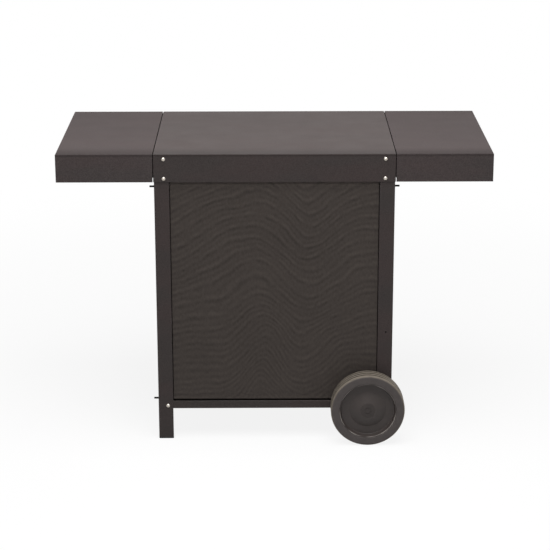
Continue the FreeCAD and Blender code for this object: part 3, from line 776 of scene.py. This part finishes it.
@dataclass
class FrontScreen:
    """The cloth screen, sewn round an upper and a lower rod."""

    cloth: WovenCloth = WovenCloth()
    thread: Rubber = Rubber("screen_thread", (0.056, 0.046, 0.041), (0.066, 0.055, 0.049), 0.3)
    width: float = SCREEN_WIDTH
    thickness: float = 0.0008
    wrap_radius: float = 0.00315
    layer_step: float = 0.0009
    field_inset: float = 0.0010
    columns: int = 90
    rows: int = 72
    hem_faces: int = 20
    fold_faces: int = 6
    pocket_faces: int = 8
    smooth_to: float = 50.0
    hem_seam: float = 0.0078
    top_seam: float = 0.0075
    header_rise: float = 0.0230
    header_seam: float = 0.0085
    allowance: float = 0.0100
    row_reach: float = 0.0005
    slack: float = 0.0003
    slack_scale: float = 0.12
    seam_inset: float = 0.0030
    stitch_length: float = 0.0026
    stitch_step: float = 0.0036
    stitch_width: float = 0.0007
    stitch_stand: float = 0.1
    stitch_flat: float = 0.6
    stitch_bevel: float = 0.25
    stitch_end: float = 0.49
    stitch_taper: float = 0.6
    stitch_smooth_to: float = 60.0
    path: float = field(default=0.0, init=False)

    def rod(self, name: str) -> Vector:
        """Return the middle of a rod's axis."""
        low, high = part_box(name)
        return (low + high) / 2

    def way_onto(self, point: Vector, centre: Vector, side: Face) -> Vector:
        """Find where a straight run of cloth meets the bend round a rod.

        Args:
            point: Where the run starts, on the plane x = 0.
            centre: The rod's middle.
            side: The face of the rod that the run passes.

        Returns:
            The point where the run touches the bend.
        """
        reach = point - Vector((0.0, centre.y, centre.z))
        turn = math.acos(self.wrap_radius / reach.length)
        arm = reach.normalized() * self.wrap_radius
        above = 1.0 if reach.z > 0 else -1.0
        arm = Matrix.Rotation(-side.value * above * turn, 3, "X") @ arm
        return Vector((0.0, centre.y, centre.z)) + arm

    def angle(self, point: Vector, centre: Vector) -> float:
        """Return a point's angle round a rod, from -Y towards -Z."""
        return math.atan2(centre.z - point.z, centre.y - point.y) % FULL_TURN

    def run(self, bench: Bench, start: Vector, end: Vector) -> None:
        """Extrude a straight run of cloth and count its length."""
        bench.pull(end - start)
        self.path += (end - start).length

    def bend(self, bench: Bench, start: Vector, end: Vector, centre: Vector, way: float, steps: int) -> None:
        """Spin a bend of cloth round a rod or a fold, and count its length.

        Args:
            bench: The tools, with the last row of the cloth selected.
            start: Where the bend starts.
            end: Where it ends.
            centre: Its middle.
            way: 1 to turn from -Y towards -Z, -1 for the other way.
            steps: How many faces it has.
        """
        span = (way * (self.angle(end, centre) - self.angle(start, centre))) % FULL_TURN
        bench.turn(centre, way * span, steps)
        self.path += span * (start - Vector((0.0, centre.y, centre.z))).length

    def build_cloth(self) -> bpy.types.Object:
        """Model the cloth as one sheet, from the allowance of its hem to that of its header.

        Returns:
            The closed cloth piece.
        """
        upper, lower = self.rod("upper_screen_rod"), self.rod("lower_screen_rod")
        front = lower.y - self.wrap_radius
        seam = Vector((0.0, front + self.field_inset, lower.z + self.hem_seam))
        top = Vector((0.0, front, upper.z))
        bench = Bench("front_screen_cloth")
        bpy.ops.mesh.primitive_grid_add(x_subdivisions=self.columns, y_subdivisions=self.rows, size=1.0)
        bpy.context.object.scale = (self.width, top.z - seam.z, 1.0)
        bpy.context.object.rotation_euler = (math.pi / 2, 0.0, 0.0)
        bpy.context.object.location = (0.0, front, (top.z + seam.z) / 2)
        piece = bench.take()
        self.path = top.z - seam.z
        bench.select(lambda place: place.z < seam.z + self.row_reach)
        bench.move(Vector((0.0, self.field_inset, 0.0)))
        self.build_hem(bench, seam, lower)
        bench.select(lambda place: place.z > top.z - self.row_reach)
        self.build_header(bench, top, upper)
        bpy.ops.object.mode_set(mode="OBJECT")
        self.slacken(bench, seam, top)
        bench.modify("SOLIDIFY", thickness=self.thickness, offset=0.0, use_even_offset=True)
        bench.close(self.smooth_to)
        return piece

    def build_hem(self, bench: Bench, seam: Vector, rod: Vector) -> None:
        """Carry the cloth under the lower rod and up behind it, past the seam.

        Args:
            bench: The tools, with the bottom row of the cloth selected.
            seam: Where the bottom row is.
            rod: The lower rod's middle.
        """
        back = seam + Vector((0.0, self.layer_step, 0.0))
        onto, off = self.way_onto(seam, rod, Face.FRONT), self.way_onto(back, rod, Face.BACK)
        self.run(bench, seam, onto)
        self.bend(bench, onto, off, rod, 1.0, self.hem_faces)
        self.run(bench, off, back)
        self.run(bench, back, back + Vector((0.0, 0.0, self.allowance)))

    def build_header(self, bench: Bench, top: Vector, rod: Vector) -> None:
        """Carry the cloth up past the upper rod, fold it back and bring it down behind the rod.

        Args:
            bench: The tools, with the top row of the cloth selected.
            top: Where the top row is.
            rod: The upper rod's middle.
        """
        crest = top + Vector((0.0, 0.0, self.header_rise))
        fold = crest + Vector((0.0, self.layer_step / 2, 0.0))
        behind = crest + Vector((0.0, self.layer_step, 0.0))
        upper_seam = Vector((0.0, behind.y, rod.z + self.header_seam))
        lower_seam = Vector((0.0, behind.y, rod.z - self.top_seam))
        onto, off = self.way_onto(upper_seam, rod, Face.BACK), self.way_onto(lower_seam, rod, Face.BACK)
        self.run(bench, top, crest)
        self.bend(bench, crest, behind, fold, -1.0, self.fold_faces)
        self.run(bench, behind, upper_seam)
        self.run(bench, upper_seam, onto)
        self.bend(bench, onto, off, rod, -1.0, self.pocket_faces)
        self.run(bench, off, lower_seam)
        self.run(bench, lower_seam, lower_seam - Vector((0.0, 0.0, self.allowance)))

    def slacken(self, bench: Bench, seam: Vector, top: Vector) -> None:
        """Let the field of the cloth wander a little between its seams.

        Args:
            bench: The tools.
            seam: The bottom of the field.
            top: The top of the field.
        """
        group = bench.piece.vertex_groups.new(name="field")
        for vertex in bench.piece.data.vertices:
            up = (vertex.co.z - seam.z) / (top.z - seam.z)
            if 0.0 < up < 1.0 and vertex.co.y < seam.y + self.layer_step / 2:
                group.add([vertex.index], math.sqrt(math.sin(math.pi * up)), "REPLACE")
        cloud = bpy.data.textures.new("screen_slack", "CLOUDS")
        cloud.noise_scale = self.slack_scale
        bench.modify("DISPLACE", texture=cloud, texture_coords="LOCAL", direction="Y", mid_level=0.5,
                     strength=self.slack, vertex_group=group.name)

    def build_stitches(self) -> bpy.types.Object:
        """Model one stitch and copy it along the seams, on both faces of the cloth.

        Returns:
            The piece that holds every stitch.
        """
        upper, lower = self.rod("upper_screen_rod"), self.rod("lower_screen_rod")
        front = lower.y - self.wrap_radius
        seams = ((lower.z + self.hem_seam, front + self.field_inset), (upper.z - self.top_seam, front),
                 (upper.z + self.header_seam, front))
        count = int((self.width - 2 * self.seam_inset) / self.stitch_step)
        rows = []
        for height, depth in seams:
            for face in Face:
                skin = depth if face is Face.FRONT else depth + self.layer_step
                skin += face.value * (self.thickness / 2 + self.stitch_width * self.stitch_stand)
                rows.append(self.stitch_row(Vector((0.0, skin, height)), count))
        bpy.ops.object.select_all(action="DESELECT")
        for row in rows:
            row.select_set(True)
        bpy.context.view_layer.objects.active = rows[0]
        bpy.ops.object.join()
        return rows[0]

    def stitch_row(self, middle: Vector, count: int) -> bpy.types.Object:
        """Model one stitch, tapered at its ends, and array it along X.

        Args:
            middle: The middle of the row.
            count: How many stitches it has.

        Returns:
            The row.
        """
        bench = Bench("screen_stitches")
        start = middle.x - (count - 1) / 2 * self.stitch_step
        bpy.ops.mesh.primitive_cube_add(size=1.0, location=(start, middle.y, middle.z))
        bpy.context.object.scale = (self.stitch_length, self.stitch_width * self.stitch_flat,
                                    self.stitch_width)
        row = bench.take()
        bench.select(lambda place: True)
        bpy.ops.mesh.bevel(offset=self.stitch_width * self.stitch_bevel, segments=1, affect="EDGES")
        bench.select(lambda place: abs(place.x - start) > self.stitch_length * self.stitch_end)
        bpy.ops.transform.resize(value=(1.0, self.stitch_taper, self.stitch_taper),
                                 center_override=(start, middle.y, middle.z))
        bench.modify("ARRAY", count=count, use_relative_offset=False, use_constant_offset=True,
                     constant_offset_displace=(self.stitch_step, 0.0, 0.0))
        bench.close(self.stitch_smooth_to)
        return row

    def build(self) -> list[bpy.types.Object]:
        """Make the cloth and its stitches, dress them and hand them to the frame.

        Returns:
            The two pieces.
        """
        cloth, stitches = self.build_cloth(), self.build_stitches()
        cloth.data.materials.append(self.cloth.material())
        stitches.data.materials.clear()
        stitches.data.materials.append(self.thread.material())
        for piece in (cloth, stitches):
            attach(piece, "cabinet")
        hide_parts("front_screen")
        LOG.info("front screen cut to %.3f by %.3f m", self.width, self.path)
        return [cloth, stitches]


@dataclass
class Carcass:
    """The fixed steelwork: top, legs, posts, tray, panels and rails."""

    coat: PowderCoat = PowderCoat()
    sheets: Names = ("main_top", "front_left_leg", "rear_left_leg", "front_right_post", "rear_right_post",
                     "front_tray_rail", "rear_tray_rail", "left_hanger_rail", "right_hanger_rail",
                     "front_axle_plate", "rear_axle_plate")
    inner_coat: PowderCoat = PowderCoat("matt_powder_coat", warm=(0.0608, 0.0506, 0.0489), roughness=0.8,
                                        specular=0.0)
    inner_sheets: Names = ("bottom_tray", "left_side_panel", "right_side_panel")
    glide_plastic: Moulding = Moulding("glide_plastic", (0.018, 0.017, 0.017), 0.5)
    glides: Names = ("front_left_glide", "rear_left_glide")

    def build(self) -> None:
        """Dress the steelwork and its glides."""
        dress(self.sheets, self.coat.material())
        dress(self.inner_sheets, self.inner_coat.material())
        dress(self.glides, self.glide_plastic.material())


@dataclass
class SideShelves:
    """The two lift-off shelves, with their hook rails and pads."""

    coat: PowderCoat = PowderCoat("shelf_powder_coat", (0.0795, 0.0685, 0.0672), (0.0842, 0.0678, 0.0667),
                                  (0.0825, 0.0676, 0.0668), specular=0.015)
    sheets: Names = ("left_shelf", "right_shelf", "left_hook_rail", "right_hook_rail")
    pad_rubber: Rubber = Rubber("pad_rubber", (0.016, 0.016, 0.016), (0.04, 0.038, 0.036), 0.2)
    pads: Names = ("left_shelf_pads", "right_shelf_pads")

    def build(self) -> None:
        """Dress the shelves and their pads."""
        dress(self.sheets, self.coat.material())
        dress(self.pads, self.pad_rubber.material())


@dataclass
class Fastenings:
    """Bolts, nuts, rivets, rods and clips."""

    bolt_steel: BareSteel = BareSteel("bolt_steel", (0.62, 0.575, 0.515), (0.50, 0.455, 0.405), 0.36)
    bolts: Names = ("front_top_bolts", "rear_top_bolts", "side_top_bolts", "tray_bolts")
    zinc_plate: BareSteel = BareSteel("zinc_plate", (0.62, 0.63, 0.65), (0.46, 0.47, 0.50), 0.35)
    plated: Names = ("top_nuts", "tray_nuts", "screen_rod_clips")
    rivet_paint: BlackPaint = BlackPaint("rivet_paint", (0.058, 0.049, 0.047), (0.070, 0.061, 0.058))
    rivets: Names = ("side_panel_rivets", "hanger_rail_rivets", "axle_plate_rivets", "left_hook_rivets",
                     "right_hook_rivets")
    rod_paint: BlackPaint = BlackPaint("rod_paint", (0.011, 0.010, 0.0095), (0.017, 0.015, 0.0145), 0.7, 0.05)
    rods: Names = ("upper_screen_rod", "lower_screen_rod")

    def build(self) -> None:
        """Dress the fastenings."""
        dress(self.bolts, self.bolt_steel.material())
        dress(self.plated, self.zinc_plate.material())
        dress(self.rivets, self.rivet_paint.material())
        dress(self.rods, self.rod_paint.material())


@dataclass
class WheelSet:
    """Two wheels on one axle, with bushes, spacers, washers and caps."""

    ends: Names = ("front", "rear")
    tyre: TyreRubber = TyreRubber()
    rim: RimPlastic = RimPlastic()
    cap: Moulding = Moulding("cap_plastic", (0.050, 0.0416, 0.0388), specular=0.25)
    nylon: Moulding = Moulding("bush_nylon", (0.60, 0.57, 0.50), 0.5)
    axle_zinc: BareSteel = BareSteel("axle_zinc", (0.60, 0.61, 0.63), (0.45, 0.46, 0.48), 0.32)
    plated: Names = ("axle", "axle_washers", "axle_retainers")

    def pair(self, name: str) -> list[str]:
        """Return the name of a piece on both wheels."""
        return [f"{end}_{name}" for end in self.ends]

    def build(self) -> None:
        """Dress the wheels and the axle."""
        dress(self.pair("tyre"), self.tyre.material())
        dress(self.pair("rim"), self.rim.material())
        dress(self.pair("hub_cap"), self.cap.material())
        bushes = self.pair("inner_bush") + self.pair("outer_bush")
        dress(bushes + ["axle_spacers"], self.nylon.material())
        dress(self.plated, self.axle_zinc.material())


@dataclass
class Studio:
    """A pale floor, a soft lamp overhead, weak ones far behind and aside, a white surround and the camera."""

    floor_radius: float = 6.0
    floor_sides: int = 96
    floor_fade: Pair = (0.6, 2.6)
    floor_tone: float = 0.46
    floor_white: float = 0.90
    floor_glow: float = 0.87
    lamp_size: Pair = (2.4, 2.4)
    lamp_place: Place = (0.0, -1.10, 3.0)
    lamp_power: float = 104.0
    fill_size: Pair = (3.0, 0.8)
    fill_turns: tuple[float, ...] = (-75.0, 0.0, 75.0)
    fill_away: float = 5.6
    fill_height: float = 0.42
    fill_power: float = 84.0
    surround: float = 0.20
    sensor: float = 36.0
    lens: float = 119.585
    eye: Place = (-0.0175, -4.9195, 1.9259)
    tilt: Place = (72.62, -0.225, -0.10)

    def seen(self, nodes: Nodes) -> Value:
        """Tell apart the rays that show the surround from those that light the object.

        Args:
            nodes: The tree that it goes into.

        Returns:
            1 for rays from the camera, a mirror or glass, and 0 for the rest.
        """
        path = nodes.node("ShaderNodeLightPath", output="Is Camera Ray")
        glossy = nodes.math("MAXIMUM", path, path.other("Is Glossy Ray"))
        return nodes.math("MAXIMUM", glossy, path.other("Is Transmission Ray"))

    def build_world(self) -> None:
        """Make a surround that looks white and lights softly."""
        world = bpy.data.worlds.new("studio_surround")
        world.use_nodes = True
        bpy.context.scene.world = world
        sky = Nodes(world.node_tree)
        white = sky.node("ShaderNodeBackground", inputs={"Color": WHITE, "Strength": 1.0})
        soft = sky.node("ShaderNodeBackground", inputs={"Color": WHITE, "Strength": self.surround})
        both = sky.node("ShaderNodeMixShader", inputs={0: self.seen(sky), 1: soft, 2: white})
        sky.node("ShaderNodeOutputWorld", inputs={"Surface": both})

    def build_floor(self) -> None:
        """Make a round floor that fades into the white surround and keeps the shadow."""
        bench = Bench("studio_floor")
        bpy.ops.mesh.primitive_circle_add(vertices=self.floor_sides, radius=self.floor_radius,
                                          fill_type="NGON")
        floor = bench.take()
        pale = Surface("studio_floor_paper")
        x, y, _ = pale.axes()
        away = pale.math("SQRT", x * x + y * y)
        glow_share = pale.ramp(away, self.floor_fade, (self.floor_glow, 1.0))
        tone = pale.blend(self.seen(pale), (self.floor_tone,) * 3, (self.floor_white,) * 3)
        paper = pale.node("ShaderNodeBsdfDiffuse", inputs={"Color": tone})
        glow = pale.node("ShaderNodeEmission", inputs={"Color": WHITE, "Strength": 1.0})
        both = pale.node("ShaderNodeMixShader", inputs={0: glow_share * self.seen(pale), 1: paper, 2: glow})
        pale.node("ShaderNodeOutputMaterial", inputs={"Surface": both})
        floor.data.materials.append(pale.material)
        bench.close()

    def build_lamp(self, name: str, size: Pair, power: float, stand: Matrix, glint: bool = True) -> None:
        """Hang a large soft lamp.

        Args:
            name: The lamp's name.
            size: Its width and height.
            power: Its strength in watts.
            stand: Its place and turn, where no turn lets it face down.
            glint: Whether it shows in gloss.
        """
        lamp = bpy.data.lights.new(name, "AREA")
        lamp.shape = "RECTANGLE"
        lamp.size, lamp.size_y = size
        lamp.energy = power
        holder = bpy.data.objects.new(name, lamp)
        holder.matrix_world = stand
        holder.visible_camera = False
        holder.visible_glossy = glint
        bpy.context.collection.objects.link(holder)

    def build_lamps(self) -> None:
        """Hang the lamp overhead, and stand the weak ones round the back, lower than the cabinet's top."""
        self.build_lamp("studio_lamp", self.lamp_size, self.lamp_power, Matrix.Translation(self.lamp_place))
        upright = Matrix.Rotation(math.radians(-90.0), 4, "X")
        away = Matrix.Translation((0.0, self.fill_away, self.fill_height))
        for turn in self.fill_turns:
            stand = Matrix.Rotation(math.radians(turn), 4, "Z") @ away @ upright
            self.build_lamp("studio_fill", self.fill_size, self.fill_power, stand, glint=False)

    def build_camera(self) -> None:
        """Stand the camera where the photograph was taken from."""
        lens = bpy.data.cameras.new("studio_camera")
        lens.lens = self.lens
        lens.sensor_width = self.sensor
        holder = bpy.data.objects.new("studio_camera", lens)
        up, pan, roll = (math.radians(angle) for angle in self.tilt)
        turn = Matrix.Rotation(pan, 4, "Z") @ Matrix.Rotation(up, 4, "X") @ Matrix.Rotation(roll, 4, "Z")
        holder.matrix_world = Matrix.Translation(self.eye) @ turn
        bpy.context.collection.objects.link(holder)
        bpy.context.scene.camera = holder

    def build(self) -> None:
        """Set up the whole studio."""
        self.build_world()
        self.build_floor()
        self.build_lamps()
        self.build_camera()
        bpy.context.scene.view_settings.view_transform = "Standard"


def main() -> None:
    """Build and dress every sub-assembly, and then the studio."""
    Carcass().build()
    SideShelves().build()
    Fastenings().build()
    WheelSet().build()
    for piece in FrontScreen().build():
        LOG.info("%s has %d faces", piece.name, len(piece.data.polygons))
    Studio().build()


if __name__ == "__main__":
    main()
